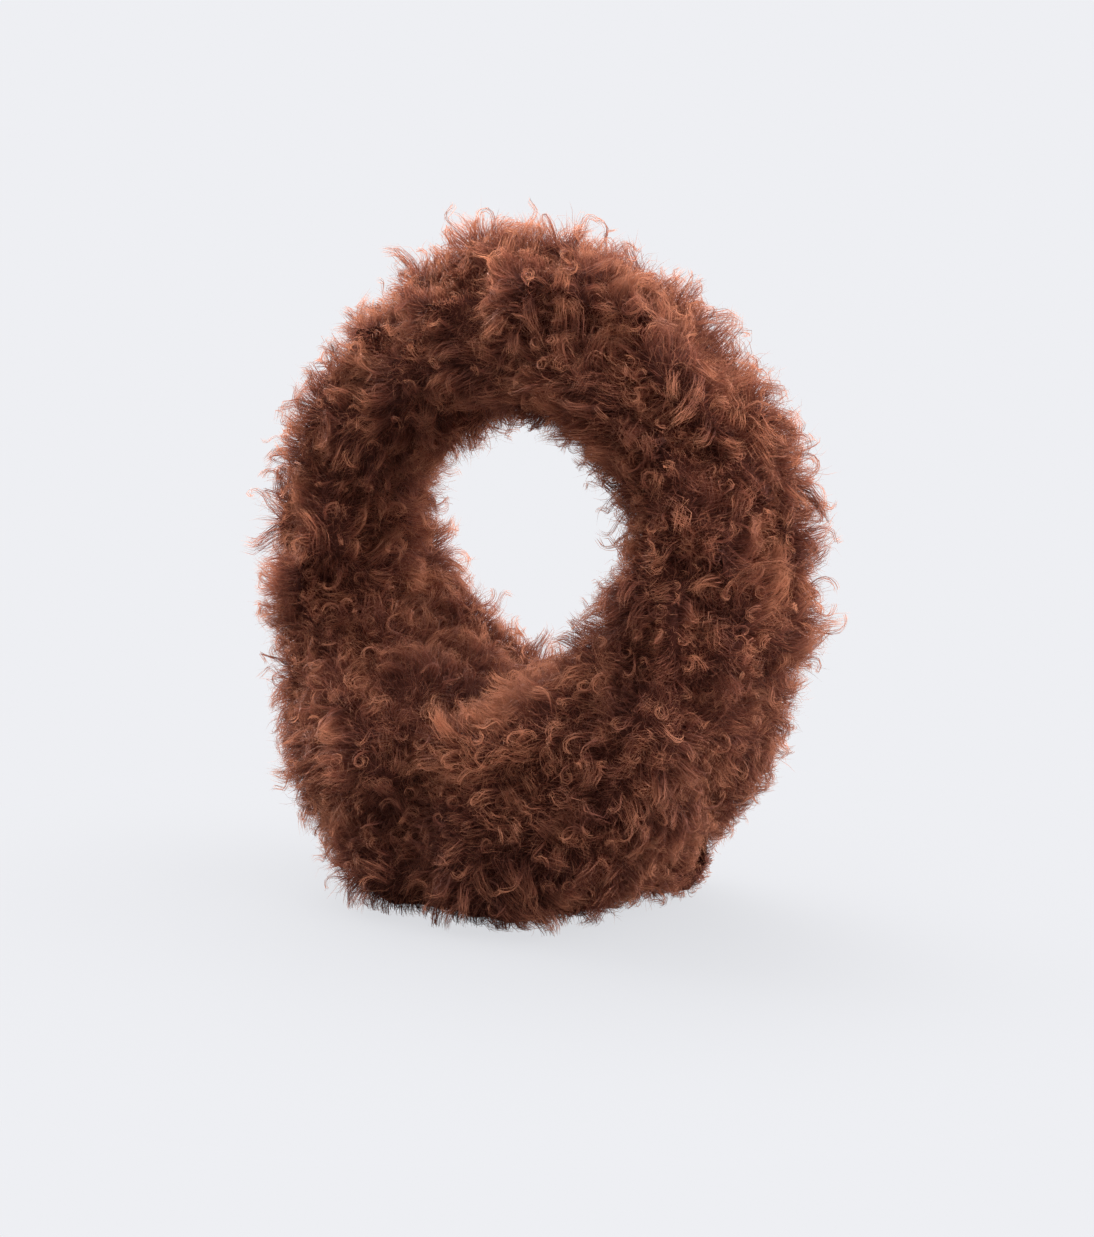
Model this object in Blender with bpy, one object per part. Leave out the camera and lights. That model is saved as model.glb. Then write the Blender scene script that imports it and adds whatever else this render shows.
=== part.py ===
"""Fur earmuffs: a fur-covered headband with a fur ear pad at each end, standing on the two pads.

Metres, +Z up. X runs from ear to ear and Y from front to back. Band and pads follow one loop in the XZ plane.
An angle along that loop is 0 at its lowest point, between the pads, and 180 degrees at the crown.
Each piece is a padded core with the fur's outer form in curled locks, fused to the core.
"""

import math
import random

import bmesh
import bpy
from mathutils import Vector

# Driving sizes. Thicknesses and depths are those of the cores, without the locks.
LOOP_HALF_WIDTH = 0.0765
LOOP_HALF_HEIGHT = 0.0735
BAND_THICKNESS = 0.052
BAND_DEPTH = 0.052
PAD_THICKNESS = 0.080
PAD_DEPTH = 0.118
PAD_ANGLE = math.radians(66)
STANDING_FLAT = 0.0030
SEAM_GAP = 0.0003

# The fur's locks
LOCK_PITCH = 0.022
LOCK_RADIUS = 0.0100
LOCK_ROOT = 0.007
LOCK_HEIGHT = 0.0048
LOCK_REACH = 0.020
LOCK_SPREAD = math.radians(45)
LOCK_FLATNESS = 0.62
FLOOR_CLEARANCE = 0.0010
END_CLEARANCE = 0.0010

# Mesh fineness
PAD_RINGS = 9
BAND_RINGS = 25
SECTION_SIDES = 16
LOCK_SIDES = 5
TURN_STEP = 0.02

# A section's exponent: 2 is an ellipse, and more is squarer.
PAD_FULLNESS = 2.8
BAND_FULLNESS = 2.1

# Rows crowd together on the loop's inner side, where the turn's cosine is lower than this.
# Every other row leaves out its locks there.
INNER_SIDE = -0.5

SEED = 11

# Rows run from the loop's lowest point to the seam with the band. A pad is fuller where it stands.
# share of the way, outer side and inner side as shares of half PAD_THICKNESS, share of PAD_DEPTH
PAD_SECTIONS = (
    (0.00, 1.11, 0.89, 1.00),
    (0.30, 1.08, 0.84, 0.93),
    (0.60, 0.82, 0.79, 0.83),
    (0.80, 0.68, 0.71, 0.72),
    (1.00, 0.65, 0.66, 0.62),
)

# Rows run from the seam to the crown.
# share of the way, outer side and inner side as shares of half BAND_THICKNESS, share of BAND_DEPTH
BAND_SECTIONS = (
    (0.00, 1.00, 1.02, 1.44),
    (0.22, 0.95, 0.95, 1.10),
    (0.50, 0.92, 0.92, 1.01),
    (1.00, 1.00, 1.00, 1.00),
)

# Where a lock's middle line runs: share of LOCK_HEIGHT out from the core, share of LOCK_REACH along it,
# share of LOCK_RADIUS there. The root row lies LOCK_ROOT below the core's surface.
LOCK_CURL = (
    (-0.20, 0.10, 1.00),
    (0.75, 0.62, 0.62),
    (1.00, 1.00, 0.00),
)

LOWEST_REACH = PAD_SECTIONS[0][1] * PAD_THICKNESS / 2
LOOP_CENTRE = Vector((0, 0, LOOP_HALF_HEIGHT + LOWEST_REACH - STANDING_FLAT))

RIGHT = 1
LEFT = -1


def clear_scene():
    for obj in list(bpy.data.objects):
        bpy.data.objects.remove(obj, do_unlink=True)


def new_collection(name):
    collection = bpy.data.collections.new(name)
    bpy.context.scene.collection.children.link(collection)
    return collection


def outward(angle):
    """Away from the loop's centre."""
    return Vector((math.sin(angle), 0, -math.cos(angle)))


def onward(angle):
    """Along the loop, towards larger angles."""
    return Vector((math.cos(angle), 0, math.sin(angle)))


def loop_point(angle):
    return LOOP_CENTRE + Vector((LOOP_HALF_WIDTH * math.sin(angle), 0, -LOOP_HALF_HEIGHT * math.cos(angle)))


def interpolated(rows, share):
    """The other columns of a table at a share of the way, between its rows."""
    for start, end in zip(rows, rows[1:]):
        if share <= end[0]:
            break
    t = min(max((share - start[0]) / (end[0] - start[0]), 0), 1)
    return [a + (b - a) * t for a, b in zip(start[1:], end[1:])]


def pad_section(angle):
    """A pad's half sizes and fullness at an angle from 0 to PAD_ANGLE, or minus that on the left."""
    outer, inner, depth = interpolated(PAD_SECTIONS, abs(angle) / PAD_ANGLE)
    return PAD_THICKNESS / 2 * outer, PAD_THICKNESS / 2 * inner, PAD_DEPTH / 2 * depth, PAD_FULLNESS


def band_section(angle):
    """The band's half sizes and fullness at an angle from PAD_ANGLE over the crown to the other pad."""
    way = (math.pi - abs(math.pi - angle) - PAD_ANGLE) / (math.pi - PAD_ANGLE)
    outer, inner, depth = interpolated(BAND_SECTIONS, way)
    return BAND_THICKNESS / 2 * outer, BAND_THICKNESS / 2 * inner, BAND_DEPTH / 2 * depth, BAND_FULLNESS


def section_point(angle, turn, section):
    """A point of the core's skin. The turn is 0 on the outer side of the loop and 90 degrees at the back."""
    outer, inner, depth, fullness = section(angle)
    power = 2 / fullness
    across = math.copysign(abs(math.cos(turn)) ** power, math.cos(turn))
    back = math.copysign(abs(math.sin(turn)) ** power, math.sin(turn))
    thickness = outer if across > 0 else inner
    return loop_point(angle) + outward(angle) * across * thickness + Vector((0, back * depth, 0))


def core(name, angles, section, start_inset, end_inset=0.0):
    """A loft through the sections at these angles, closed by a flat face at each end, both set in."""
    shape = bmesh.new()
    turns = [2 * math.pi * k / SECTION_SIDES for k in range(SECTION_SIDES)]
    insets = [start_inset, *[0.0] * (len(angles) - 2), end_inset]
    rings = []
    for angle, inset in zip(angles, insets):
        places = [section_point(angle, turn, section) + onward(angle) * inset for turn in turns]
        rings.append([shape.verts.new(place) for place in places])
    for ring, following in zip(rings, rings[1:]):
        for k in range(SECTION_SIDES):
            after = (k + 1) % SECTION_SIDES
            shape.faces.new((ring[k], ring[after], following[after], following[k]))
    shape.faces.new(rings[0])
    shape.faces.new(rings[-1])
    bmesh.ops.recalc_face_normals(shape, faces=shape.faces)
    mesh = bpy.data.meshes.new(name)
    shape.to_mesh(mesh)
    shape.free()
    return bpy.data.objects.new(name, mesh)


def lock_path(angle, turn, section, way, lean):
    """A lock's middle line from root to tip as points and radii, and the direction out of the core there."""
    base = section_point(angle, turn, section)
    ahead = section_point(angle, turn + TURN_STEP, section)
    behind = section_point(angle, turn - TURN_STEP, section)
    around = (ahead - behind).normalized()
    out = around.cross(onward(angle)).normalized()
    if out.dot(base - loop_point(angle)) < 0:
        out.negate()
    flow = onward(angle) * way * math.cos(lean) + around * math.sin(lean)
    path = [(base - out * LOCK_ROOT, LOCK_RADIUS)]
    for height, reach, radius in LOCK_CURL:
        path.append((base + out * LOCK_HEIGHT * height + flow * LOCK_REACH * reach, LOCK_RADIUS * radius))
    return path, out


def lock_rings(path, out):
    """The rings of a flattened horn along the path."""
    rings = []
    turns = [2 * math.pi * k / LOCK_SIDES for k in range(LOCK_SIDES)]
    side = (path[-1][0] - path[0][0]).cross(out).normalized()
    for (point, radius), (following, _) in zip(path, path[1:]):
        rise = side.cross(following - point).normalized()
        across = [side * math.sin(turn) for turn in turns]
        upward = [rise * LOCK_FLATNESS * math.cos(turn) for turn in turns]
        rings.append([point + radius * (a + b) for a, b in zip(across, upward)])
    return rings


def stands_clear(points, start, end):
    """Whether a lock stays off the floor and within the angles where its piece starts and ends."""
    for point in points:
        if point.z < FLOOR_CLEARANCE:
            return False
        offset = point - LOOP_CENTRE
        for angle, way in ((start, 1), (end, -1)):
            if offset.dot(onward(angle)) * way < END_CLEARANCE and offset.dot(outward(angle)) > 0:
                return False
    return True


def add_lock(shape, rings, tip):
    """A closed horn through the rings, which ends in a point."""
    rings = [[shape.verts.new(place) for place in ring] for ring in rings]
    tip = shape.verts.new(tip)
    shape.faces.new(rings[0])
    for k in range(LOCK_SIDES):
        after = (k + 1) % LOCK_SIDES
        for ring, following in zip(rings, rings[1:]):
            shape.faces.new((ring[k], ring[after], following[after], following[k]))
        shape.faces.new((rings[-1][k], rings[-1][after], tip))


def locks(name, start, end, section, helpers):
    """The locks of a piece, in staggered rows around it, as one mesh of closed horns."""
    chance = random.Random(SEED)
    shape = bmesh.new()
    radius = (LOOP_HALF_WIDTH + LOOP_HALF_HEIGHT) / 2
    margin = (LOCK_RADIUS * LOCK_FLATNESS + 2 * END_CLEARANCE) / radius
    rows = max(round((end - start - 2 * margin) * (radius + BAND_THICKNESS / 2) / LOCK_PITCH) + 1, 2)
    for row, angle in enumerate(evenly(start + margin, end - margin, rows)):
        outer, inner, depth, _ = section(angle)
        girth = 2 * math.pi * math.sqrt(((outer + inner) ** 2 / 4 + depth**2) / 2)
        count = max(round(girth / LOCK_PITCH), 3)
        downward = -1 if math.sin(angle) > 0 else 1
        for k in range(count):
            turn = 2 * math.pi * (k + 0.5 * (row % 2) + 0.25) / count
            lean = chance.uniform(-LOCK_SPREAD, LOCK_SPREAD)
            if row % 2 and math.cos(turn) < INNER_SIDE:
                continue
            for way in (downward, -downward):
                path, out = lock_path(angle, turn, section, way, lean)
                rings = lock_rings(path, out)
                tip = path[-1][0]
                if stands_clear([*sum(rings, []), tip], start, end):
                    add_lock(shape, rings, tip)
                    break
    bmesh.ops.recalc_face_normals(shape, faces=shape.faces)
    mesh = bpy.data.meshes.new(name)
    shape.to_mesh(mesh)
    shape.free()
    return helper(bpy.data.objects.new(name, mesh), helpers)


def helper(obj, helpers):
    helpers.objects.link(obj)
    obj.hide_render = True
    obj.display_type = "WIRE"
    return obj


def floor_cutter(helpers):
    """A slab under the floor, which cuts the pads flat where they stand."""
    reach = 2 * (LOOP_HALF_WIDTH + PAD_DEPTH)
    shape = bmesh.new()
    bmesh.ops.create_cube(shape, size=reach)
    bmesh.ops.translate(shape, verts=shape.verts, vec=(0, 0, -reach / 2))
    mesh = bpy.data.meshes.new("floor_cutter")
    shape.to_mesh(mesh)
    shape.free()
    return helper(bpy.data.objects.new("floor_cutter", mesh), helpers)


def boolean(obj, operation, other, overlapping=False):
    modifier = obj.modifiers.new(operation.lower(), "BOOLEAN")
    modifier.operation = operation
    modifier.object = other
    modifier.solver = "EXACT"
    modifier.use_self = overlapping


def skin_islands(shape):
    """The connected groups of a mesh's corners."""
    left = set(shape.verts)
    islands = []
    while left:
        found = {left.pop()}
        waiting = list(found)
        while waiting:
            for edge in waiting.pop().link_edges:
                near = set(edge.verts) & left
                left -= near
                found |= near
                waiting.extend(near)
        islands.append(found)
    return islands


def fused(obj, fur, helpers):
    """The core joined with its locks as one skin. Pockets that locks close off between them are filled."""
    helpers.objects.link(obj)
    boolean(obj, "UNION", fur, overlapping=True)
    bpy.context.view_layer.update()
    graph = bpy.context.evaluated_depsgraph_get()
    mesh = bpy.data.meshes.new_from_object(obj.evaluated_get(graph))
    shape = bmesh.new()
    shape.from_mesh(mesh)
    islands = skin_islands(shape)
    outside = max(islands, key=len)
    pockets = [corner for island in islands if island is not outside for corner in island]
    bmesh.ops.delete(shape, geom=pockets, context="VERTS")
    shape.to_mesh(mesh)
    shape.free()
    name = obj.name
    bpy.data.objects.remove(obj, do_unlink=True)
    return bpy.data.objects.new(name, mesh)


def fur_material(name, colour, roughness):
    material = bpy.data.materials.new(name)
    material.use_nodes = True
    shader = material.node_tree.nodes["Principled BSDF"]
    shader.inputs["Base Color"].default_value = (*colour, 1)
    shader.inputs["Roughness"].default_value = roughness
    shader.inputs["Metallic"].default_value = 0
    return material


def finish(obj, parts, material):
    obj.data.materials.append(material)
    obj.data.shade_smooth()
    obj.data.set_sharp_from_angle(angle=math.radians(40))
    parts.objects.link(obj)


def evenly(start, end, count):
    return [start + (end - start) * k / (count - 1) for k in range(count)]


def ear_pad(name, side, parts, helpers, floor, material):
    """A pad from the loop's lowest point to its seam with the band, cut flat where it stands."""
    angles = [side * a for a in evenly(0, PAD_ANGLE, PAD_RINGS)]
    pad = core(name, angles, pad_section, side * SEAM_GAP / 2)
    start, end = sorted((0, side * PAD_ANGLE))
    fur = locks(name + "_locks", start, end, pad_section, helpers)
    pad = fused(pad, fur, helpers)
    boolean(pad, "DIFFERENCE", floor)
    finish(pad, parts, material)


def headband(name, parts, helpers, material):
    """The band, from one pad's seam over the crown to the other's."""
    start, end = PAD_ANGLE, 2 * math.pi - PAD_ANGLE
    band = core(name, evenly(start, end, BAND_RINGS), band_section, SEAM_GAP, -SEAM_GAP)
    fur = locks(name + "_locks", start, end, band_section, helpers)
    finish(fused(band, fur, helpers), parts, material)


def main():
    clear_scene()
    parts = new_collection("fur_earmuffs")
    helpers = new_collection("helpers")
    floor = floor_cutter(helpers)
    band_fur = fur_material("band_fur", (0.12, 0.045, 0.028), 0.9)
    pad_fur = fur_material("pad_fur", (0.11, 0.041, 0.026), 0.9)
    headband("headband", parts, helpers, band_fur)
    ear_pad("right_ear_pad", RIGHT, parts, helpers, floor, pad_fur)
    ear_pad("left_ear_pad", LEFT, parts, helpers, floor, pad_fur)


main()
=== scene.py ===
"""The looks of the fur earmuffs: curly fur over a padded band and two pads, on a pale floor in soft light.

Metres, +Z up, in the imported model's frame. The fur is flat strands in joined meshes made from arrays. Each
node has a soft base inside its solid, a fleece of combed strands gathered in clumps, thin loose fuzz, locks
that end in curls, and short dense down under them.
"""

import math
from types import SimpleNamespace

import bpy
import numpy as np
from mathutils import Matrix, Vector
from mathutils.bvhtree import BVHTree
from mathutils.kdtree import KDTree

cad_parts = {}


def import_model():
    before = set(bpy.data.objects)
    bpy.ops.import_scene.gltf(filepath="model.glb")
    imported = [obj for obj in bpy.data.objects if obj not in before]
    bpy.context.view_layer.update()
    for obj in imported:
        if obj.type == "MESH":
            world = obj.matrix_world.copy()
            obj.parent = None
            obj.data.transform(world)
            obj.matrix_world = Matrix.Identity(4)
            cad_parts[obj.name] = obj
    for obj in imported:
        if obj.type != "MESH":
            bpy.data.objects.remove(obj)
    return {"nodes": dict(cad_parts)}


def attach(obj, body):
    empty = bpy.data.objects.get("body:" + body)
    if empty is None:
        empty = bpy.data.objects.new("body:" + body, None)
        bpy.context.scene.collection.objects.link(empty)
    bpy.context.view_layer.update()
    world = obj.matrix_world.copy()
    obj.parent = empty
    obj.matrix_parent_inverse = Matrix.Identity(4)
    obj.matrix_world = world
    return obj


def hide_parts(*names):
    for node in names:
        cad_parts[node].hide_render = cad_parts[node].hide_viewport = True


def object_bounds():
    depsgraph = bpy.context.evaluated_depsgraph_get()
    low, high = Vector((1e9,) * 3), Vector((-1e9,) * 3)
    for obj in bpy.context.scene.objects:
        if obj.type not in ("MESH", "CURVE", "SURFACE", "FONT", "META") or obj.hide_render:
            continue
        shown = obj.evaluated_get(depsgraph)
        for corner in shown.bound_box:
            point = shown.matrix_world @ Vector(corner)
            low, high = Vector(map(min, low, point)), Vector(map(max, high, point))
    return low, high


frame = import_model()
CAD_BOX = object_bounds()

# The loop that band and pads follow. Its centre's height is a share of the whole height
LOOP_CENTRE_SHARE = 0.52
LOOP_CENTRE = np.array([0.0, 0.0, LOOP_CENTRE_SHARE * CAD_BOX[1][2]])
LOOP_RADIUS = 0.075

# Base under the fur: the solid smoothed and pulled in. It keeps a small gap to the next piece,
# and each pad has a groove along the other pad
BASE_VOXEL = 0.0045
BASE_SMOOTHING = 8
BASE_SMOOTHING_STEP = 0.5
BASE_INSET = 0.0080
SEAM_GAP = 0.0004
SEAM_REACH = 0.003
SEAM_FADE = 3 * SEAM_REACH
GROOVE_REACH = 0.018
PAD_GROOVES = {"left_ear_pad": 0.0130, "right_ear_pad": 0.0050}

# Each kind of strand has sizes in metres, angles in degrees, and pairs of limits for what differs between
# strands. Shares are places along a strand, curl_from is the share where its curl begins, crimp is how far
# it wanders, and tone is how much it differs in colour

# Fleece: strands all over, gathered in clumps that roll over at their ends
FLEECE = SimpleNamespace(
    spacing=0.00113,
    length=0.0138,
    lengths=(0.90, 1.06),
    stretch=(0.84, 1.05),
    width=0.00020,
    widths=(0.7, 1.2),
    taper=0.4,
    shares=np.array([0, 0.44, 0.74, 1]),
    lean=(8, 36),
    curl=(140, 290),
    curl_from=0.34,
    tilt=(-1.4, 1.4),
    crimp=0.00050,
    tone=0.7,
)

# Clumps: how far apart they are, how round they are lit, and how far their strands gather toward their tips
CLUMP_SPACING = 0.0058
CLUMP_ROUNDING = 1.0
GATHERING = (0.15, 0.50)
GATHERING_EASE = 1.3

# Combed places: how far apart they are, how much of the fleece they take, and how the fleece differs there
COMBED_SPACING = 0.040
COMBED_MEAN = 0.45
COMBED_SPREAD = 0.55
COMBED_LEAN = 30
COMBED_LENGTH = 0.15
COMBED_CURL = 0.65
COMBED_GATHERING = 0.30

# Fuzz: thin loose strands
FUZZ = SimpleNamespace(
    spacing=0.00139,
    length=0.0134,
    lengths=(0.70, 1.05),
    width=0.00014,
    widths=(0.7, 1.3),
    taper=0.5,
    shares=np.array([0, 0.48, 0.76, 1]),
    lean=(5, 70),
    curl=(80, 300),
    curl_from=0.35,
    crimp=0.0004,
    tone=0.5,
)

# Locks that end in curls, some of them lying flat
LOCK = SimpleNamespace(
    spacing=0.0053,
    length=0.0192,
    lengths=(0.78, 1.06),
    strands=8,
    width=0.00022,
    widths=(0.8, 1.2),
    taper=0.5,
    shares=np.array([0, 0.34, 0.46, 0.56, 0.66, 0.75, 0.84, 0.92, 1]),
    lean=(10, 50),
    flat_lean=(55, 90),
    tilt=(-1.0, 1.0),
    flat_tilt=(1.0, 1.5),
    curl=(200, 400),
    curl_from=0.42,
    crimp=0.00016,
    tone=0.6,
)

# How many of the locks lie flat, and how far they swerve from the way that the fur is combed
FLAT_LOCKS = 0.5
LOCK_SWERVE = 0.7
LOCK_WOBBLE = 0.15

# How thick a lock is, how it narrows and twists toward its tip, how much lighter it is than the rest,
# and how round it is lit
LOCK_RADIUS = 0.0013
LOCK_RADII = (0.6, 1.2)
LOCK_ROOT = 1.3
LOCK_NARROWING = 0.8
LOCK_NARROWING_EASE = 0.8
LOCK_TWIST = 2.5
LOCK_TONE_LIFT = 0.2
LOCK_ROUNDING = 0.8

# Down: short dense strands under the rest, which don't curl
DOWN = SimpleNamespace(
    spacing=0.00116,
    length=0.0095,
    lengths=(0.6, 1.1),
    width=0.00042,
    widths=(0.7, 1.2),
    taper=1,
    shares=np.array([0, 1]),
    lean=(0, 55),
    curl_from=1,
    tone=0.6,
)
DOWN_TIP = 0.7

# All strands: how deep in the base they start, the steps from one share to the next, how the curl tightens
# and the crimp grows along them, how freely they turn about themselves, how round they are lit, and how much
# the strands of a clump or lock differ in tone
ROOT_DEPTH = 0.0015
GUIDE_STEPS = 4
CURL_TIGHTENING = 0.6
CRIMP_EASE = 0.7
STRAND_ROLL = 1.3
STRAND_ROUNDNESS = 0.8
STRAND_TONE = 0.3

# A direction that locks hardly ever start along, from which the directions across them are found
CROSSWISE = np.array([0.31, 0.53, 0.79])

# The way that the fur is combed: wide sweeps, and narrow ones that add a share
WIDE_SWEEP = 0.055
NARROW_SWEEP = 0.022
NARROW_SHARE = 0.45

# Near the floor: no roots under the contact height and no locks or down under their clearances. Up to the
# skirt's height the fur is shorter, and the base reaches out and down. Strands that touch the floor are
# pressed on it
FLOOR_CLEARANCE = 0.0004
REST_SPREAD = 0.0012
CONTACT = 0.0010
LOCK_CLEARANCE = 0.0035
DOWN_CLEARANCE = 0.005
SKIRT = 0.013
SKIRT_FOOT = 0.0040
SKIRT_DROP = 0.0030
SKIRT_LENGTH = 0.36
PRESSED = 0.3

# Near the next piece the fur is a little shorter
PARTING = 0.012
PARTED_LENGTH = 0.94

# Clumps of clumps: how much longer the fur grows on them, by their spacing, and how far they lift the base
RELIEF = ((0.026, 0.18), (0.013, 0.09))
BASE_RELIEF = 0.0012

# Where the fur grows thicker or thinner: the angle around the loop from its top toward the right ear,
# the turn around the roll from its outside toward the back, how far both reach, and how much thicker
GROWTH = (
    (-3, 2, 17, 0.85),
    (-7, 0, 8, 0.40),
    (13, 0, 7, -0.35),
    (26, 12, 10, 0.50),
    (42, 29, 7, 0.15),
    (49, 29, 5, -0.25),
    (65, 41, 13, 1.15),
    (67, 41, 6, 0.45),
    (98, 48, 10, 0.30),
    (113, 56, 9, 0.05),
    (128, 56, 9, -0.30),
    (154, 33, 15, -1.25),
    (160, -5, 12, 0.45),
    (-32, -29, 9, -0.10),
    (-48, -46, 9, 0.30),
    (-57, -40, 5, -0.35),
    (-65, -43, 8, 1.50),
    (-76, -46, 7, -0.30),
    (-86, -46, 7, 0.90),
    (-96, -54, 6, -0.20),
    (-107, -62, 10, 0.20),
    (-125, -62, 9, 0.20),
    (-143, -65, 10, 0.70),
    (-157, -58, 7, -0.30),
    (-174, -49, 12, 0.70),
    (169, -43, 7, -0.90),
    (-15, 180, 20, -0.40),
    (-52, 136, 10, -0.70),
    (42, -153, 12, 0.25),
    (74, -122, 10, 0.25),
    (-76, 138, 18, -0.65),
    (-119, 127, 13, 1.25),
    (-146, 126, 12, -0.70),
    (94, -127, 8, -1.10),
    (110, -127, 12, 1.15),
    (165, -145, 14, -0.60),
)
GROWTH_LIFT = 0.0042
GROWTH_LENGTH = 0.36
SHORTEST = 0.45
LONGEST = 1.32
LONGEST_LOCK = 1.10

# Patches of painted light and shade, by the same angles and reach, and their tone, which is above 0 where
# paler
PAINTED_LIGHT_AND_SHADE = (
    # A pool of light painted on the near pad's inner end, where it faces the light from above and the left
    (158, -113, 14, 6.0),
    # Painted shade in the valley at the bottom of the hole, on the far pad's inner side next to the near pad
    (-172, -150, 18, -3.5),
    # Painted shade on the pads' lower fronts near the floor
    (175, -60, 22, -1.3),
)

# Colours of the fur at its roots, part of the way up and at its tips, and of the wool under it
BAND_FUR = ((0.104, 0.034, 0.026), (0.255, 0.081, 0.050), (0.56, 0.224, 0.122))
PAD_FUR = ((0.098, 0.032, 0.025), (0.238, 0.076, 0.048), (0.54, 0.217, 0.120))
UNDERWOOL = (0.095, 0.028, 0.019)

# Fur: where along a strand its middle colour is, how far a tone shifts the colours, the drifts between
# places, and the share of light that passes through a strand
WARM_AT = 0.46
TONE_SHIFT = 0.08
DRIFT_SCALE = 70
DRIFT_DETAIL = 2
DRIFT = 0.9
FUR_ROUGHNESS = 0.62
FUR_SPECULAR = 0.22
LIGHT_THROUGH = 0.50

# Underwool: its fibres' scale, detail and height, and its darkest shade
MATTED_SCALE = 900
MATTED_DETAIL = 4
MATTED_HEIGHT = 0.001
MATTED_DARK = 0.5
WOOL_ROUGHNESS = 0.9
WOOL_SPECULAR = 0.1

# Camera in degrees and metres, and the photo's frame in pixels
AZIMUTH = 41
ELEVATION = 5
DISTANCE = 0.75
TARGET = Vector((0, 0, 0.11))
PICTURE_WIDTH, PICTURE_HEIGHT = 1094, 1237
FOCAL_PIXELS = 2296.4
TARGET_PIXEL = (526.6, 563.0)
SENSOR = 36.0

# Floor: a disc that fades into the backdrop between two distances. Even at its middle the camera sees a share
# of backdrop
BACKDROP = (0.855, 0.863, 0.896)
FLOOR_RADIUS = 4.0
FLOOR_CORNERS = 96
FLOOR_ROUGHNESS = 0.9
FLOOR_GLOW = 0.78
FADE_START = 0.10
FADE_END = 0.26

# The studio's light: a fill from everywhere, and soft boxes by
# azimuth and elevation in degrees, how far their light reaches around that in degrees, and strength
FILL = 0.37
SOFT_BOXES = (
    (20, 76, 48, 3.2),
    (221, 58, 48, 1.9),
    (-112, 25, 47, 14.0),
    (112, 18, 46, 8.4),
    (165, 15, 38, 4.6),
)

# The seed of everything that is random, and how many waves a smooth random value is made of
SEED = 7
WAVES = 7


def unit(vectors):
    return vectors / np.maximum(np.linalg.norm(vectors, axis=-1, keepdims=True), 1e-9)


def dot(a, b):
    return (a * b).sum(-1, keepdims=True)


def drawn(chance, limits, count):
    """A number between the limits for each of a count of strands or clumps."""
    return chance.uniform(*limits, (count, 1))


def turned(vectors, axes, angles):
    """Each vector turned about its axis by its angle."""
    c, s = np.cos(angles), np.sin(angles)
    return vectors * c + np.cross(axes, vectors) * s + axes * dot(axes, vectors) * (1 - c)


def rolling(points, wavelength, seed):
    """A smooth random value at each point, with a spread of about 1, and its slope."""
    chance = np.random.default_rng(seed)
    ways = unit(chance.normal(size=(WAVES, 3))) * 2 * np.pi / wavelength
    angles = points @ ways.T + chance.uniform(0, 2 * np.pi, WAVES)
    spread = math.sqrt(2 / WAVES)
    return np.sin(angles).sum(1, keepdims=True) * spread, np.cos(angles) @ ways * spread


def relief(points):
    """The lift of the clumps of clumps at each point, as a share of the fur's length, and its slope."""
    lift, slope = 0, 0
    for k, (wavelength, share) in enumerate(RELIEF):
        value, change = rolling(points, wavelength, SEED + k)
        lift = lift + share * value
        slope = slope + share * change
    return lift, slope


def rounded(points, normals):
    """The normals as the clumps of clumps tilt them."""
    slope = relief(points)[1] * FLEECE.length
    return unit(normals - (slope - normals * dot(slope, normals)))


def along_loop(points):
    """The direction along the loop at each point."""
    out = points - LOOP_CENTRE
    out[:, 1] = 0
    out = unit(out)
    return np.stack([-out[:, 2], np.zeros(len(out)), out[:, 0]], axis=1)


def nearness(points, at_around, at_turn, reach):
    """How near each point is to a place on the roll, from 0 to 1.

    A turn around the roll counts half as much as an angle around the loop.
    """
    around = np.degrees(np.arctan2(points[:, 0], points[:, 2] - LOOP_CENTRE[2]))
    outside = np.hypot(points[:, 0], points[:, 2] - LOOP_CENTRE[2]) - LOOP_RADIUS
    turn = np.degrees(np.arctan2(points[:, 1], outside))
    along = (around - at_around + 180) % 360 - 180
    across = (turn - at_turn + 180) % 360 - 180
    return np.exp(-(along**2 + (across / 2) ** 2) / reach**2)[:, None]


def growth(points):
    """How much thicker the fur is at each point than elsewhere, by the table."""
    return sum(share * nearness(points, *place) for *place, share in GROWTH)


def triangles_of(mesh):
    """The corners of a mesh's triangles, and the place and normal of each vertex."""
    mesh.calc_loop_triangles()
    corners = np.empty(len(mesh.loop_triangles) * 3, np.int32)
    mesh.loop_triangles.foreach_get("vertices", corners)
    places = np.empty(len(mesh.vertices) * 3, np.float32)
    mesh.vertices.foreach_get("co", places)
    normals = np.empty(len(mesh.vertices) * 3, np.float32)
    mesh.vertices.foreach_get("normal", normals)
    places, normals = (values.reshape(-1, 3).astype(float) for values in (places, normals))
    return corners.reshape(-1, 3), places, normals


def solid_tree(node):
    """A search tree of a node's solid."""
    corners, places, _ = triangles_of(frame["nodes"][node].data)
    return BVHTree.FromPolygons(places.tolist(), corners.tolist())


def neighbour_ways(points, trees):
    """How far the other pieces' solids are from each point, and the direction away from them."""
    distances = np.full((len(points), 1), 1.0)
    ways = np.zeros((len(points), 3))
    for k, point in enumerate(points):
        for tree in trees:
            place, _, _, distance = tree.find_nearest(Vector(point))
            if distance < distances[k, 0]:
                distances[k, 0] = distance
                ways[k] = point - np.array(place)
    return distances, unit(ways)


def smoothed_solid(name, node):
    """A copy of a node's solid with its locks smoothed away."""
    piece = bpy.data.objects.new(name, frame["nodes"][node].data.copy())
    bpy.context.scene.collection.objects.link(piece)
    piece.data.materials.clear()
    remesh = piece.modifiers.new("remesh", "REMESH")
    remesh.mode = "VOXEL"
    remesh.voxel_size = BASE_VOXEL
    smooth = piece.modifiers.new("smooth", "SMOOTH")
    smooth.factor = BASE_SMOOTHING_STEP
    smooth.iterations = BASE_SMOOTHING
    graph = bpy.context.evaluated_depsgraph_get()
    mesh = bpy.data.meshes.new_from_object(piece.evaluated_get(graph))
    piece.modifiers.clear()
    piece.data = mesh
    mesh.name = name
    return piece


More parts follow.
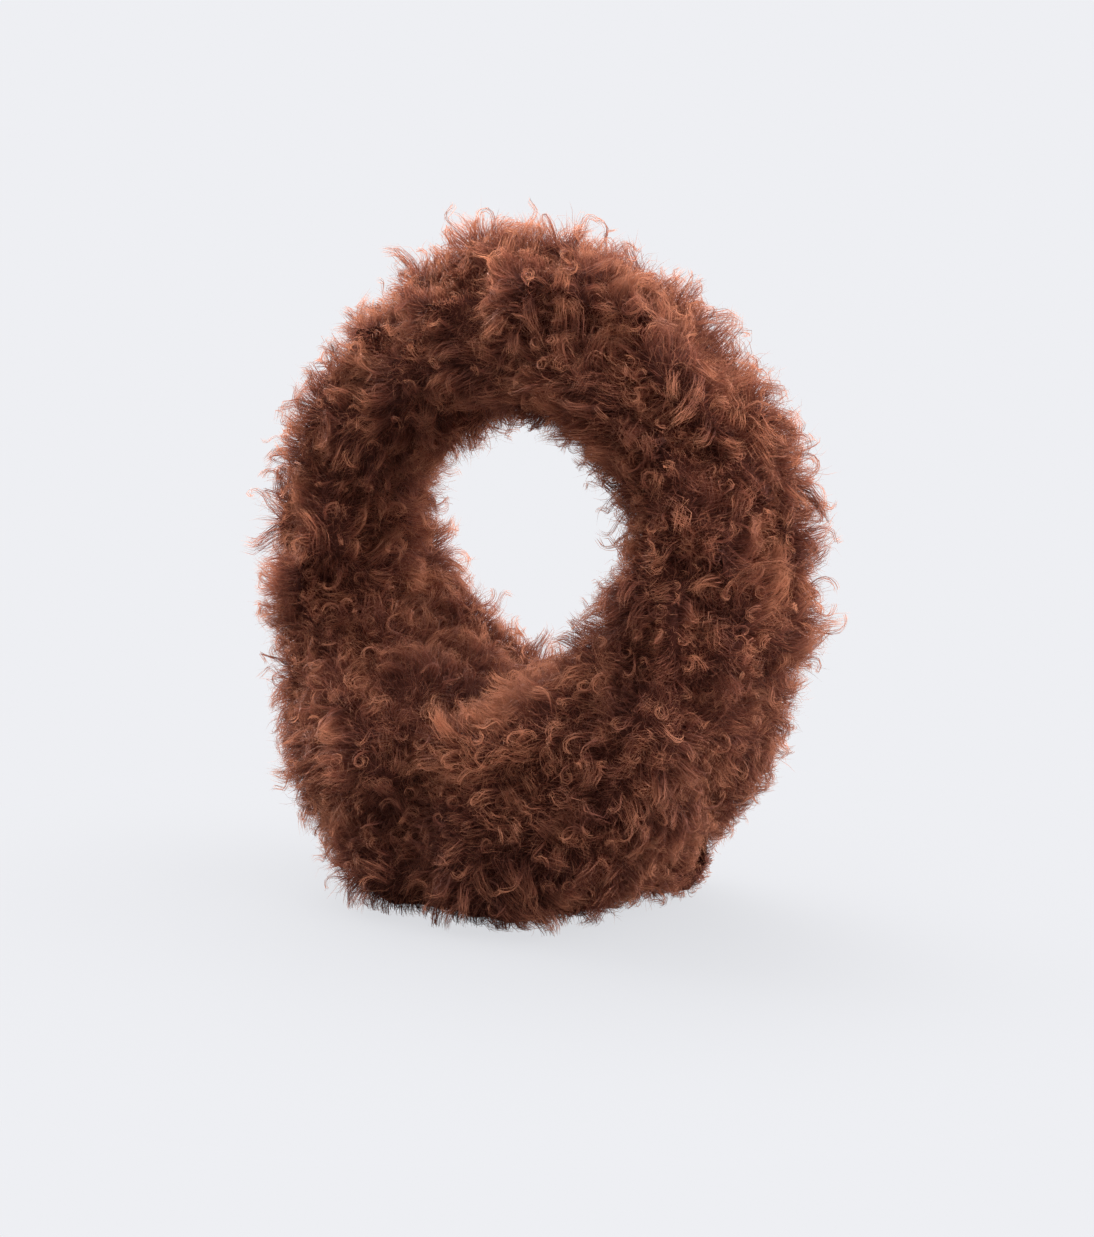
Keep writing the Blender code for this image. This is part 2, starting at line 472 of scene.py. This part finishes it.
def base_mesh(name, node, trees):
    """A smooth padded form inside a node's solid, as long as the solid along the loop."""
    piece = smoothed_solid(name, node)
    _, places, normals = triangles_of(piece.data)
    along = along_loop(places)
    across = normals - along * dot(normals, along)
    thicker = growth(places)
    inset = BASE_INSET - BASE_RELIEF * rolling(places, RELIEF[0][0], SEED)[0]
    if node in PAD_GROOVES:
        distances, _ = neighbour_ways(places, trees[:1])
        inset = inset + PAD_GROOVES[node] * np.clip(1 - distances / GROOVE_REACH, 0, 1) ** 2
    rise = np.clip(places[:, 2:] / SKIRT, 0, 1)
    inset = inset * rise - GROWTH_LIFT * thicker
    not_down = np.clip(1 + normals[:, 2:], 0, 1) ** 0.5
    distances, away = neighbour_ways(places, trees)
    short = np.clip(distances - SEAM_GAP, 0, SEAM_REACH) * np.clip(1 - distances / SEAM_FADE, 0, 1)
    places = places - across * inset * not_down - away * short
    places[:, :2] += SKIRT_FOOT * np.clip(1 + thicker, 0, 1) * normals[:, :2] * (1 - rise)
    places[:, 2:] -= SKIRT_DROP * (1 - rise)
    places[:, 2] = np.maximum(places[:, 2], FLOOR_CLEARANCE)
    piece.data.vertices.foreach_set("co", places.astype(np.float32).ravel())
    piece.data.shade_smooth()
    piece.data.update()
    return piece


def roots_on(mesh, spacing, chance):
    """Points spread over a mesh with their normals, about one for each square of the spacing."""
    corners, places, normals = triangles_of(mesh)
    a, b, c = (places[corners[:, k]] for k in range(3))
    areas = np.linalg.norm(np.cross(b - a, c - a), axis=1) / 2
    count = int(areas.sum() / spacing**2)
    levels = (np.arange(count) + chance.random(count)) / count
    chosen = np.searchsorted(np.cumsum(areas) / areas.sum(), levels)
    chosen = np.minimum(chosen, len(areas) - 1)
    u, v = chance.random(count), chance.random(count)
    over = u + v > 1
    u[over], v[over] = 1 - u[over], 1 - v[over]
    weights = np.stack([1 - u - v, u, v], axis=1)[:, :, None]
    points = (places[corners[chosen]] * weights).sum(1)
    return points, unit((normals[corners[chosen]] * weights).sum(1))


def thinned(points, spacing):
    """The indices of points that keep the spacing from those before them."""
    cells = {}
    kept = []
    for k, (x, y, z) in enumerate(points):
        cell = (int(x // spacing), int(y // spacing), int(z // spacing))
        near = [
            p
            for i in (-1, 0, 1)
            for j in (-1, 0, 1)
            for l in (-1, 0, 1)
            for p in cells.get((cell[0] + i, cell[1] + j, cell[2] + l), ())
        ]
        if all((x - p[0]) ** 2 + (y - p[1]) ** 2 + (z - p[2]) ** 2 > spacing**2 for p in near):
            cells.setdefault(cell, []).append((x, y, z))
            kept.append(k)
    return np.array(kept)


def uncovered(points, normals, trees):
    """The points that don't lie against another piece or on the floor.

    The nearer to the floor, the less their normals point down, so the fur there grows level with it.
    """
    distances, _ = neighbour_ways(points, trees)
    free = (distances[:, 0] > CONTACT) & (points[:, 2] > CONTACT)
    points, normals = points[free], normals[free]
    lowest = -np.clip(points[:, 2] / SKIRT, 0, 1)
    normals[:, 2] = np.maximum(normals[:, 2], lowest)
    return points, unit(normals)


def flows_at(points, normals, chance):
    """The way that the fur is combed at each point, in the surface."""
    seeds = chance.integers(1000, size=3)
    sweep = np.concatenate([rolling(points, WIDE_SWEEP, seed)[0] for seed in seeds], axis=1)
    narrow = np.concatenate([rolling(points, NARROW_SWEEP, seed)[0] for seed in seeds + 1], axis=1)
    sweep = sweep + NARROW_SHARE * narrow
    return unit(sweep - normals * dot(sweep, normals))


def loose_flows(normals, chance):
    """A random way in the surface for each strand."""
    return unit(np.cross(normals, unit(chance.normal(size=(len(normals), 3)))))


def lengths_at(points, trees):
    """How long the fur grows at each point, as a share of its usual length."""
    lengths = 1 + relief(points)[0] + GROWTH_LENGTH * growth(points)
    distances, _ = neighbour_ways(points, trees)
    parted = PARTED_LENGTH + (1 - PARTED_LENGTH) * np.clip(distances / PARTING, 0, 1)
    skirt = SKIRT_LENGTH + (1 - SKIRT_LENGTH) * np.clip(points[:, 2:] / SKIRT, 0, 1)
    return np.clip(lengths, SHORTEST, LONGEST) * parted * skirt


def tones_at(points, spread, chance):
    """A tone for each strand or clump, from dark to light: the table's painted light and shade, and a random
    spread.
    """
    painted_light_and_shade = sum(tone * nearness(points, *place)[:, 0] for *place, tone in PAINTED_LIGHT_AND_SHADE)
    return painted_light_and_shade + spread * chance.normal(size=len(points))


def guide_paths(roots, normals, flows, lean, length, kind, curl, curl_axes):
    """Middle lines that leave the surface, lean into the flow and end in a curl."""
    lean_axes = unit(np.cross(normals, flows))
    heading = normals.copy()
    place = roots - normals * ROOT_DEPTH
    path = [place]
    for before, after in zip(kind.shares, kind.shares[1:]):
        for step in range(GUIDE_STEPS):
            share = before + (after - before) * (step + 0.5) / GUIDE_STEPS
            part = (after - before) / GUIDE_STEPS
            heading = turned(heading, lean_axes, lean * 2 * max(1 - share, 0) * part)
            if share > kind.curl_from:
                way = (share - kind.curl_from) / (1 - kind.curl_from)
                tightness = (1 + CURL_TIGHTENING) * way**CURL_TIGHTENING
                heading = turned(heading, curl_axes, curl * tightness * part / (1 - kind.curl_from))
            heading = unit(heading)
            place = place + heading * length * part
        path.append(place)
    return np.stack(path, axis=1)


def sides_along(paths):
    """Two directions across each path, all along it."""
    tangents = unit(np.gradient(paths, axis=1))
    across = unit(np.cross(tangents[:, 0], CROSSWISE))
    sides = [across]
    for k in range(1, paths.shape[1]):
        across = unit(across - tangents[:, k] * dot(across, tangents[:, k]))
        sides.append(across)
    sides = np.stack(sides, axis=1)
    return sides, np.cross(tangents, sides)


def wander(count, kind, chance):
    """A crimp for each strand: small random bends that add up along it."""
    bends = np.cumsum(chance.normal(size=(count, len(kind.shares), 3)), axis=1)
    return (bends - bends[:, :1]) * kind.crimp * kind.shares[None, :, None] ** CRIMP_EASE


def kept_above_floor(paths, chance):
    """Strands that would pass the floor are pressed flat on it, and reach less far there."""
    rest = FLOOR_CLEARANCE + REST_SPREAD * chance.random((len(paths), 1))
    steps = np.diff(paths, axis=1)
    low = paths[:, 1:, 2] < rest
    steps[:, :, :2] *= np.where(low, PRESSED, 1)[:, :, None]
    paths[:, 1:] = paths[:, :1] + np.cumsum(steps, axis=1)
    paths[:, :, 2] = np.maximum(paths[:, :, 2], rest)
    return paths


def widths_along(count, kind, chance):
    """The width of each strand along it, wide at its root."""
    return kind.width * (1 - kind.taper * kind.shares[None]) * drawn(chance, kind.widths, count)


def all_along(values, kind):
    """The same value at each point of a strand, for each strand."""
    return np.repeat(values[:, None], len(kind.shares), axis=1)


def for_each(shares, count):
    """The same row of shares for each strand."""
    return np.repeat(shares[None], count, axis=0)


def strand_faces(points):
    """The triangles of one flat strand with a number of points, the last of them its tip."""
    faces = []
    for k in range(points - 2):
        faces += [(2 * k, 2 * k + 1, 2 * k + 3), (2 * k, 2 * k + 3, 2 * k + 2)]
    last = 2 * points - 4
    faces.append((last, last + 1, last + 2))
    return np.array(faces)


def in_pairs(values):
    """A value for each vertex of flat strands: each point's value twice, and the tip's once."""
    return np.concatenate([np.repeat(values[:, :-1], 2, axis=1), values[:, -1:]], axis=1)


def strands_mesh(name, paths, widths, outs, shares, tones, chance):
    """One mesh of flat tapering strands that end in a point, lit as if they were round."""
    count, points = paths.shape[:2]
    tangents = unit(np.gradient(paths, axis=1))
    facing = unit(outs + STRAND_ROLL * unit(chance.normal(size=(count, 1, 3))))
    sides = unit(np.cross(tangents, facing)) * widths[:, :, None] / 2
    vertices = in_pairs(paths)
    vertices[:, 0:-1:2] -= sides[:, :-1]
    vertices[:, 1:-1:2] += sides[:, :-1]
    normals = in_pairs(unit(outs - STRAND_ROUNDNESS * tangents * dot(outs, tangents)))
    per_strand = vertices.shape[1]
    corners = (strand_faces(points)[None] + per_strand * np.arange(count)[:, None, None]).reshape(-1)
    mesh = bpy.data.meshes.new(name)
    mesh.vertices.add(count * per_strand)
    mesh.vertices.foreach_set("co", vertices.astype(np.float32).ravel())
    mesh.loops.add(len(corners))
    mesh.loops.foreach_set("vertex_index", corners.astype(np.int32))
    mesh.polygons.add(len(corners) // 3)
    mesh.polygons.foreach_set("loop_start", np.arange(0, len(corners), 3, dtype=np.int32))
    mesh.update()
    for attribute, values in (("along", in_pairs(shares)), ("tone", np.repeat(tones, per_strand))):
        layer = mesh.attributes.new(attribute, "FLOAT", "POINT")
        layer.data.foreach_set("value", values.astype(np.float32).ravel())
    mesh.shade_smooth()
    mesh.normals_split_custom_set_from_vertices(normals.reshape(-1, 3).astype(np.float32))
    piece = bpy.data.objects.new(name, mesh)
    bpy.context.scene.collection.objects.link(piece)
    return piece


def nearest_of(spots, points):
    """The index of the nearest spot to each point."""
    tree = KDTree(len(spots))
    for k, spot in enumerate(spots):
        tree.insert(Vector(spot), k)
    tree.balance()
    return np.array([tree.find(Vector(p))[1] for p in points])


def fleece(name, base, trees, chance):
    """Strands all over a node, gathered in clumps that roll over at their ends, or combed in some places."""
    roots, normals = uncovered(*roots_on(base.data, FLEECE.spacing, chance), trees)
    spots, spot_normals = roots_on(base.data, CLUMP_SPACING / 2, chance)
    centres = thinned(spots, CLUMP_SPACING)
    spots, spot_normals = spots[centres], spot_normals[centres]
    flows = flows_at(spots, spot_normals, chance)
    count = len(spots)
    combed = rolling(spots, COMBED_SPACING, chance.integers(1000))[0]
    combed = np.clip(COMBED_MEAN + COMBED_SPREAD * combed, 0, 1)
    lean = np.radians(drawn(chance, FLEECE.lean, count) + COMBED_LEAN * combed)
    length = FLEECE.length * drawn(chance, FLEECE.lengths, count) * (1 + COMBED_LENGTH * combed)
    length = length * lengths_at(spots, trees)
    tilt = drawn(chance, FLEECE.tilt, count)
    lean_axes = unit(np.cross(spot_normals, flows))
    curl_axes = unit(lean_axes * np.cos(tilt) + spot_normals * np.sin(tilt))
    curl = np.radians(drawn(chance, FLEECE.curl, count)) * (1 - COMBED_CURL * combed)
    guides = guide_paths(spots, spot_normals, flows, lean, length, FLEECE, curl, curl_axes)
    owner = nearest_of(spots, roots)
    own = guides[owner]
    strands = len(roots)
    offset = (roots - normals * ROOT_DEPTH) - own[:, 0]
    share = FLEECE.shares[None, :, None]
    gathering = (drawn(chance, GATHERING, count) + COMBED_GATHERING * combed)[owner][:, None]
    spread = 1 - gathering * share**GATHERING_EASE
    stretch = drawn(chance, FLEECE.stretch, strands)
    paths = own[:, :1] + (own - own[:, :1]) * stretch[:, :, None] + offset[:, None] * spread
    paths = paths + wander(strands, FLEECE, chance)
    paths = kept_above_floor(paths, chance)
    widths = widths_along(strands, FLEECE, chance)
    shares = for_each(FLEECE.shares, strands) * np.minimum(stretch, 1)
    tones = tones_at(spots, FLEECE.tone, chance)[owner] + chance.normal(size=strands) * STRAND_TONE
    outs = unit(rounded(roots, normals)[:, None] + CLUMP_ROUNDING * unit(paths - own) * share)
    return strands_mesh(name, paths, widths, outs, shares, tones, chance)


def fuzz(name, base, trees, chance):
    """Thin strands that stand loosely out of the fleece, each with its own way and bend."""
    roots, normals = uncovered(*roots_on(base.data, FUZZ.spacing, chance), trees)
    count = len(roots)
    flows = loose_flows(normals, chance)
    lean = np.radians(drawn(chance, FUZZ.lean, count))
    length = FUZZ.length * drawn(chance, FUZZ.lengths, count) * lengths_at(roots, trees)
    axes = unit(chance.normal(size=(count, 3)))
    curl = np.radians(drawn(chance, FUZZ.curl, count))
    paths = guide_paths(roots, normals, flows, lean, length, FUZZ, curl, axes)
    paths = paths + wander(count, FUZZ, chance)
    paths = kept_above_floor(paths, chance)
    widths = widths_along(count, FUZZ, chance)
    tones = tones_at(roots, FUZZ.tone, chance)
    outs = all_along(rounded(roots, normals), FUZZ)
    return strands_mesh(name, paths, widths, outs, for_each(FUZZ.shares, count), tones, chance)


def lock_guides(base, trees, chance):
    """The middle lines of the locks, and the places and normals that they start from."""
    spots, normals = uncovered(*roots_on(base.data, LOCK.spacing / 2, chance), trees)
    kept = thinned(spots, LOCK.spacing)
    spots, normals = spots[kept], normals[kept]
    count = len(spots)
    flows = flows_at(spots, normals, chance)
    flows = unit(turned(flows, normals, chance.normal(size=(count, 1)) * LOCK_SWERVE))
    flat = chance.random((count, 1)) < FLAT_LOCKS
    lean = np.where(flat, drawn(chance, LOCK.flat_lean, count), drawn(chance, LOCK.lean, count))
    length = LOCK.length * drawn(chance, LOCK.lengths, count)
    length = length * np.minimum(lengths_at(spots, trees), LONGEST_LOCK)
    tilt = np.where(flat, drawn(chance, LOCK.flat_tilt, count), drawn(chance, LOCK.tilt, count))
    lean_axes = unit(np.cross(normals, flows))
    wobble = LOCK_WOBBLE * chance.normal(size=(count, 3))
    curl_axes = unit(lean_axes * np.cos(tilt) + normals * np.sin(tilt) + wobble)
    curl = np.radians(drawn(chance, LOCK.curl, count))
    curl = curl * np.where(flat, chance.choice([-1, 1], (count, 1)), 1)
    guides = guide_paths(spots, normals, flows, np.radians(lean), length, LOCK, curl, curl_axes)
    high = guides[:, :, 2].min(1) > LOCK_CLEARANCE
    return guides[high], spots[high], normals[high]


def curls(name, base, trees, chance):
    """Locks of strands that run together and end in a curl."""
    guides, spots, normals = lock_guides(base, trees, chance)
    count = len(guides)
    across, other = sides_along(guides)
    share = LOCK.shares[None, None, :, None]
    thin = LOCK_ROOT - LOCK_NARROWING * share**LOCK_NARROWING_EASE
    radius = LOCK_RADIUS * drawn(chance, LOCK_RADII, count)[:, :, None, None] * thin
    turn = chance.uniform(0, 2 * np.pi, (count, LOCK.strands, 1, 1)) + share * LOCK_TWIST
    reach = np.sqrt(chance.random((count, LOCK.strands, 1, 1))) * radius
    paths = guides[:, None] + reach * (np.cos(turn) * across[:, None] + np.sin(turn) * other[:, None])
    paths = paths.reshape(-1, len(LOCK.shares), 3)
    strands = len(paths)
    paths = paths + wander(strands, LOCK, chance)
    paths = kept_above_floor(paths, chance)
    widths = widths_along(strands, LOCK, chance)
    tones = np.repeat(LOCK_TONE_LIFT + tones_at(spots, LOCK.tone, chance), LOCK.strands)
    tones = tones + chance.normal(size=strands) * STRAND_TONE
    middle = np.repeat(guides, LOCK.strands, axis=0)
    outs = all_along(np.repeat(rounded(spots, normals), LOCK.strands, axis=0), LOCK)
    outs = unit(outs + LOCK_ROUNDING * unit(paths - middle))
    return strands_mesh(name, paths, widths, outs, for_each(LOCK.shares, strands), tones, chance)


def down(name, base, trees, chance):
    """Short dense strands that hide the base where the fur is seen from the side."""
    roots, normals = uncovered(*roots_on(base.data, DOWN.spacing, chance), trees)
    high = roots[:, 2] > DOWN_CLEARANCE
    roots, normals = roots[high], normals[high]
    count = len(roots)
    flows = loose_flows(normals, chance)
    lean = np.radians(drawn(chance, DOWN.lean, count))
    length = DOWN.length * drawn(chance, DOWN.lengths, count) * lengths_at(roots, trees)
    paths = guide_paths(roots, normals, flows, lean, length, DOWN, curl=0, curl_axes=normals)
    paths = kept_above_floor(paths, chance)
    widths = widths_along(count, DOWN, chance)
    outs = all_along(rounded(roots, normals), DOWN)
    tones = tones_at(roots, DOWN.tone, chance)
    return strands_mesh(name, paths, widths, outs, for_each(DOWN_TIP * DOWN.shares, count), tones, chance)


def fed(tree, socket, term):
    """Gives a socket its term, which is a number or another node's outcome."""
    if isinstance(term, bpy.types.NodeSocket):
        tree.links.new(term, socket)
    else:
        socket.default_value = term


def worked_out(tree, operation, *terms):
    """The outcome of a math node."""
    node = tree.nodes.new("ShaderNodeMath")
    node.operation = operation
    for socket, term in zip(node.inputs, terms):
        fed(tree, socket, term)
    return node.outputs[0]


def mixed(tree, share, first, second):
    """The outcome of a mix of two shaders, by the share of the second."""
    node = tree.nodes.new("ShaderNodeMixShader")
    fed(tree, node.inputs["Fac"], share)
    tree.links.new(first, node.inputs[1])
    tree.links.new(second, node.inputs[2])
    return node.outputs["Shader"]


def noise_in(tree, scale, detail):
    """The outcome of a noise that is fixed to the object."""
    place = tree.nodes.new("ShaderNodeTexCoord")
    noise = tree.nodes.new("ShaderNodeTexNoise")
    noise.inputs["Scale"].default_value = scale
    noise.inputs["Detail"].default_value = detail
    tree.links.new(place.outputs["Object"], noise.inputs["Vector"])
    return noise.outputs["Fac"]


def attribute_in(tree, name):
    """The outcome of an attribute of the mesh."""
    node = tree.nodes.new("ShaderNodeAttribute")
    node.attribute_name = name
    return node.outputs["Fac"]


def fur_material(name, dark, warm, light):
    """Fur that is dark at its roots and light at its tips, with random patches and strands of other tones,
    and painted light and shade in places through its tones.
    """
    material = bpy.data.materials.new(name)
    material.use_nodes = True
    tree = material.node_tree
    nodes, links = tree.nodes, tree.links
    shader = nodes["Principled BSDF"]
    shader.inputs["Roughness"].default_value = FUR_ROUGHNESS
    shader.inputs["Specular IOR Level"].default_value = FUR_SPECULAR
    ramp = nodes.new("ShaderNodeValToRGB")
    ramp.color_ramp.elements[0].position = 0.0
    ramp.color_ramp.elements[0].color = (*dark, 1)
    ramp.color_ramp.elements[1].position = 1.0
    ramp.color_ramp.elements[1].color = (*light, 1)
    middle = ramp.color_ramp.elements.new(WARM_AT)
    middle.color = (*warm, 1)
    tone, along = attribute_in(tree, "tone"), attribute_in(tree, "along")
    shift = worked_out(tree, "MULTIPLY_ADD", tone, TONE_SHIFT, along)
    drift = worked_out(tree, "MULTIPLY_ADD", noise_in(tree, DRIFT_SCALE, DRIFT_DETAIL), DRIFT, -DRIFT / 2)
    links.new(worked_out(tree, "ADD", shift, drift), ramp.inputs["Fac"])
    links.new(ramp.outputs["Color"], shader.inputs["Base Color"])
    through = nodes.new("ShaderNodeBsdfTranslucent")
    links.new(ramp.outputs["Color"], through.inputs["Color"])
    # The strands' own normals are for light that falls on them. Light through them follows their real faces
    geometry = nodes.new("ShaderNodeNewGeometry")
    links.new(geometry.outputs["True Normal"], through.inputs["Normal"])
    both = mixed(tree, LIGHT_THROUGH, shader.outputs["BSDF"], through.outputs["BSDF"])
    links.new(both, nodes["Material Output"].inputs["Surface"])
    return material


def base_material(name, colour):
    """The matted wool under the fur."""
    material = bpy.data.materials.new(name)
    material.use_nodes = True
    tree = material.node_tree
    nodes, links = tree.nodes, tree.links
    shader = nodes["Principled BSDF"]
    shader.inputs["Roughness"].default_value = WOOL_ROUGHNESS
    shader.inputs["Specular IOR Level"].default_value = WOOL_SPECULAR
    matted = noise_in(tree, MATTED_SCALE, MATTED_DETAIL)
    ramp = nodes.new("ShaderNodeValToRGB")
    ramp.color_ramp.elements[0].color = (*[MATTED_DARK * c for c in colour], 1)
    ramp.color_ramp.elements[1].color = (*colour, 1)
    links.new(matted, ramp.inputs["Fac"])
    links.new(ramp.outputs["Color"], shader.inputs["Base Color"])
    bump = nodes.new("ShaderNodeBump")
    bump.inputs["Distance"].default_value = MATTED_HEIGHT
    links.new(matted, bump.inputs["Height"])
    links.new(bump.outputs["Normal"], shader.inputs["Normal"])
    return material


def dressed(node, material, under, seed):
    """A node's base and its four kinds of strands."""
    chance = np.random.default_rng(seed)
    others = [other for other in (*PAD_GROOVES, "headband") if other != node]
    trees = [solid_tree(other) for other in others]
    base = base_mesh(node + "_base", node, trees)
    base.data.materials.append(under)
    made = [make(f"{node}_{make.__name__}", base, trees, chance) for make in (fleece, fuzz, curls, down)]
    for piece in made:
        piece.data.materials.append(material)
    for piece in (base, *made):
        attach(piece, "root")
        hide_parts(node)


def way_of(azimuth, elevation):
    """A direction away from the earmuffs, in degrees. Azimuth 0 is in front, where Y is lowest."""
    a, e = math.radians(azimuth), math.radians(elevation)
    return Vector((math.sin(a) * math.cos(e), -math.cos(a) * math.cos(e), math.sin(e)))


def studio_light(ways):
    """How bright the studio is in each direction, as the world's nodes have it."""
    total = np.full(len(ways), FILL)
    for azimuth, elevation, reach, strength in SOFT_BOXES:
        cosine = ways @ np.array(way_of(azimuth, elevation))
        edge = math.cos(math.radians(reach))
        t = np.clip((cosine - edge) / (1 - edge), 0, 1)
        total += strength * t * t * (3 - 2 * t)
    return total


def open_floor_light():
    """The mean brightness that falls on the open floor."""
    steps = 200
    height = (np.arange(steps) + 0.5) / steps
    turn = (np.arange(steps) + 0.5) / steps * 2 * np.pi
    rise, around = (grid.ravel() for grid in np.meshgrid(np.sqrt(height), turn))
    flat = np.sqrt(1 - rise**2)
    return studio_light(np.stack([flat * np.cos(around), flat * np.sin(around), rise], axis=1)).mean()


def floor():
    """A pale disc that catches the shadows near the earmuffs and fades into the backdrop."""
    bpy.ops.mesh.primitive_circle_add(
        vertices=FLOOR_CORNERS, radius=FLOOR_RADIUS, fill_type="NGON", location=(0, 0, 0)
    )
    disc = bpy.context.object
    disc.name = "floor"
    material = bpy.data.materials.new("floor")
    material.use_nodes = True
    tree = material.node_tree
    nodes, links = tree.nodes, tree.links
    shader = nodes["Principled BSDF"]
    light = open_floor_light()
    reflected = [channel / light for channel in BACKDROP]
    shader.inputs["Base Color"].default_value = (*reflected, 1)
    shader.inputs["Roughness"].default_value = FLOOR_ROUGHNESS
    shader.inputs["Specular IOR Level"].default_value = 0.0
    glow = nodes.new("ShaderNodeEmission")
    glow.inputs["Color"].default_value = (*BACKDROP, 1)
    place = nodes.new("ShaderNodeTexCoord")
    far = nodes.new("ShaderNodeVectorMath")
    far.operation = "LENGTH"
    links.new(place.outputs["Object"], far.inputs[0])
    fade = nodes.new("ShaderNodeMapRange")
    fade.interpolation_type = "SMOOTHSTEP"
    fade.inputs["From Min"].default_value = FADE_START
    fade.inputs["From Max"].default_value = FADE_END
    fade.inputs["To Min"].default_value = FLOOR_GLOW
    links.new(far.outputs["Value"], fade.inputs["Value"])
    ray = nodes.new("ShaderNodeLightPath")
    seen = worked_out(tree, "MULTIPLY", fade.outputs["Result"], ray.outputs["Is Camera Ray"])
    both = mixed(tree, seen, shader.outputs["BSDF"], glow.outputs["Emission"])
    links.new(both, nodes["Material Output"].inputs["Surface"])
    disc.data.materials.append(material)


def world():
    """The backdrop's colour for the camera, and soft boxes in a dim studio for everything else."""
    sky = bpy.data.worlds.new("studio")
    bpy.context.scene.world = sky
    sky.use_nodes = True
    tree = sky.node_tree
    nodes, links = tree.nodes, tree.links
    seen = nodes["Background"]
    seen.inputs["Color"].default_value = (*BACKDROP, 1)
    way = nodes.new("ShaderNodeTexCoord")
    total = FILL
    for azimuth, elevation, reach, strength in SOFT_BOXES:
        cosine = nodes.new("ShaderNodeVectorMath")
        cosine.operation = "DOT_PRODUCT"
        cosine.inputs[1].default_value = way_of(azimuth, elevation)
        links.new(way.outputs["Generated"], cosine.inputs[0])
        lobe = nodes.new("ShaderNodeMapRange")
        lobe.interpolation_type = "SMOOTHSTEP"
        lobe.inputs["From Min"].default_value = math.cos(math.radians(reach))
        lobe.inputs["From Max"].default_value = 1.0
        lobe.inputs["To Max"].default_value = strength
        links.new(cosine.outputs["Value"], lobe.inputs["Value"])
        total = worked_out(tree, "ADD", lobe.outputs["Result"], total)
    lit = nodes.new("ShaderNodeBackground")
    lit.inputs["Color"].default_value = (1, 1, 1, 1)
    links.new(total, lit.inputs["Strength"])
    ray = nodes.new("ShaderNodeLightPath")
    both = mixed(tree, ray.outputs["Is Camera Ray"], lit.outputs["Background"], seen.outputs["Background"])
    links.new(both, nodes["World Output"].inputs["Surface"])


def camera():
    """The photo's camera, with its frame shifted as the photo is cropped."""
    view = bpy.data.cameras.new("camera")
    view.sensor_width = SENSOR
    view.lens = FOCAL_PIXELS / PICTURE_HEIGHT * SENSOR
    view.shift_x = (PICTURE_WIDTH / 2 - TARGET_PIXEL[0]) / PICTURE_HEIGHT
    view.shift_y = (TARGET_PIXEL[1] - PICTURE_HEIGHT / 2) / PICTURE_HEIGHT
    obj = bpy.data.objects.new("camera", view)
    bpy.context.scene.collection.objects.link(obj)
    back = way_of(AZIMUTH, ELEVATION)
    obj.location = TARGET + back * DISTANCE
    obj.rotation_mode = "QUATERNION"
    obj.rotation_quaternion = (-back).to_track_quat("-Z", "Y")
    bpy.context.scene.camera = obj


def main():
    camera()
    world()
    floor()
    bpy.context.scene.view_settings.view_transform = "Standard"
    band = fur_material("band_fur", *BAND_FUR)
    pad = fur_material("pad_fur", *PAD_FUR)
    under = base_material("underwool", UNDERWOOL)
    dressed("headband", band, under, SEED)
    dressed("right_ear_pad", pad, under, SEED + 1)
    dressed("left_ear_pad", pad, under, SEED + 2)


main()
